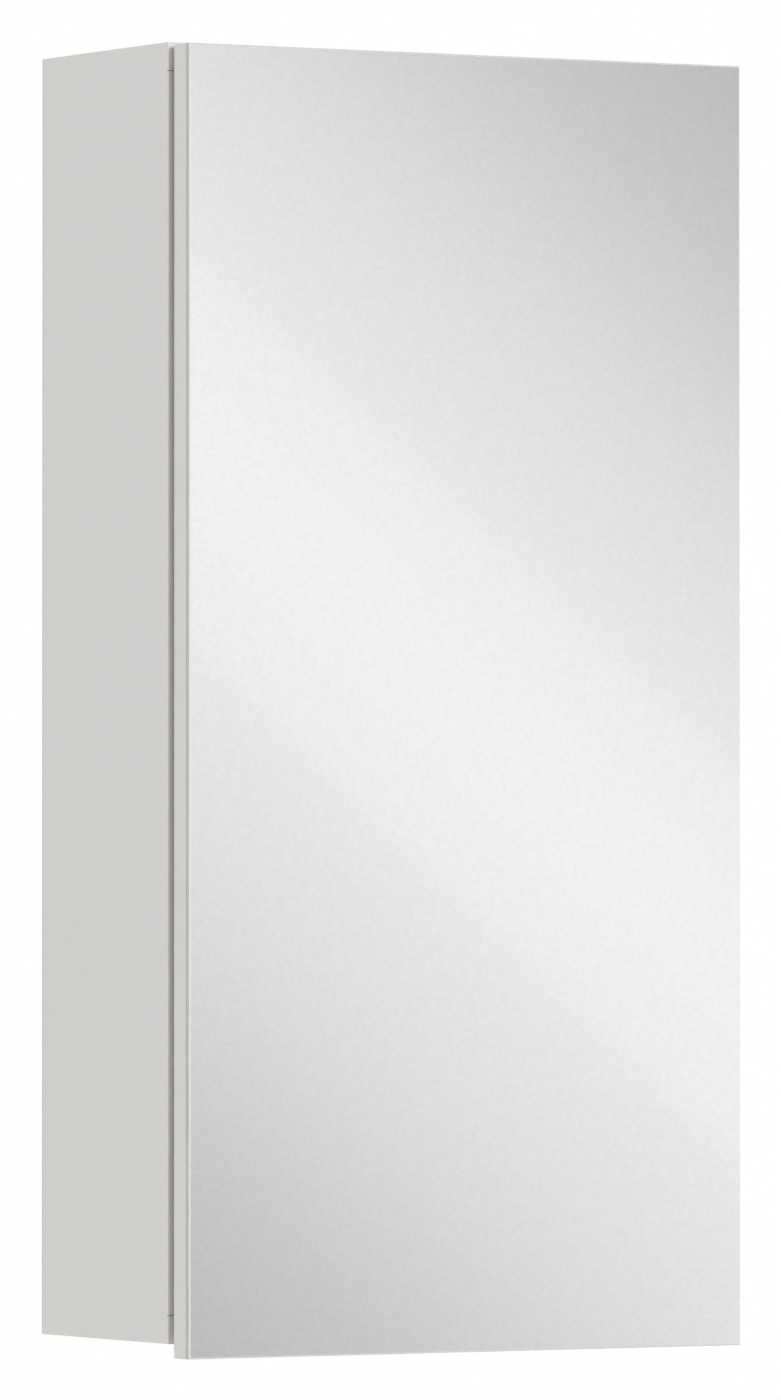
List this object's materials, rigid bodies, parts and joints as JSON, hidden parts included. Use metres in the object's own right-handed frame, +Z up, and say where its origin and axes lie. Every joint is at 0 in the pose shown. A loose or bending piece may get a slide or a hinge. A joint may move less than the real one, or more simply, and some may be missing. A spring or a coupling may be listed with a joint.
{
  "type": "mirror cabinet",
  "caption": "Wall-hung box cabinet closed by an overlay mirror door on concealed cup hinges, with glass shelves inside, a lower finger edge and keyhole hangers behind.",
  "frame": {"origin": "midway between the centres of the round keyhole entrances, on the wall plane that the back of the cabinet rests on", "axes": "+X right seen from the front, +Y into the wall, +Z up; the mirror faces -Y"},
  "size_m": [0.3, 0.1415, 0.6064],
  "materials": {
    "white_board": "smooth warm-white lacquered foil on fibreboard",
    "edge_band": "smooth warm-white satin",
    "back_board": "white-faced thin hardboard",
    "rail_board": "raw fibreboard, sanded",
    "hardwood": "raw beech",
    "zinc_steel": "zinc plated",
    "nickel_steel": "nickel plated",
    "shelf_glass": "clear float glass, ground edges",
    "clear_soft": "clear soft plastic",
    "white_plastic": "moulded satin",
    "ferrite": "pressed dark ferrite",
    "mirror": "silvered behind clear glass, seamed edges"
  },
  "bodies": {
    "carcass": {"left_side_panel": "white_board", "right_side_panel": "white_board", "top_panel": "white_board", "bottom_panel": "white_board", "corner_splines": "hardwood", "front_edge_band_top": "edge_band", "front_edge_band_bottom": "edge_band", "front_edge_band_left": "edge_band", "front_edge_band_right": "edge_band", "back_panel": "back_board", "hanging_rail": "rail_board", "rail_dowels": "hardwood", "keyhole_plate_left": "zinc_steel", "keyhole_plate_right": "zinc_steel", "keyhole_plate_screws": "zinc_steel", "upper_shelf": "shelf_glass", "lower_shelf": "shelf_glass", "shelf_pins": "nickel_steel", "shelf_pads": "clear_soft", "upper_hinge_mounting_plate": "nickel_steel", "lower_hinge_mounting_plate": "nickel_steel", "mounting_plate_screws": "nickel_steel", "upper_hinge_arm": "nickel_steel", "lower_hinge_arm": "nickel_steel", "hinge_arm_screws": "nickel_steel", "hinge_setting_screws": "nickel_steel", "catch_housing": "white_plastic", "catch_magnet": "ferrite", "catch_pole_plates": "zinc_steel", "catch_screws": "zinc_steel"},
    "door": {"door_panel": "white_board", "mirror_glass": "mirror", "door_bumpers": "clear_soft", "upper_hinge_cup": "nickel_steel", "lower_hinge_cup": "nickel_steel", "hinge_pins": "nickel_steel", "hinge_cup_screws": "nickel_steel", "strike_plate": "zinc_steel", "strike_plate_screws": "zinc_steel"}
  },
  "joints": [
    {"name": "door_swing", "type": "hinge", "parent": "carcass", "child": "door", "pos_m": [0.1425, -0.1341, -0.2589], "axis": [0, 0, 1], "range_deg": [0, 100]}
  ]
}
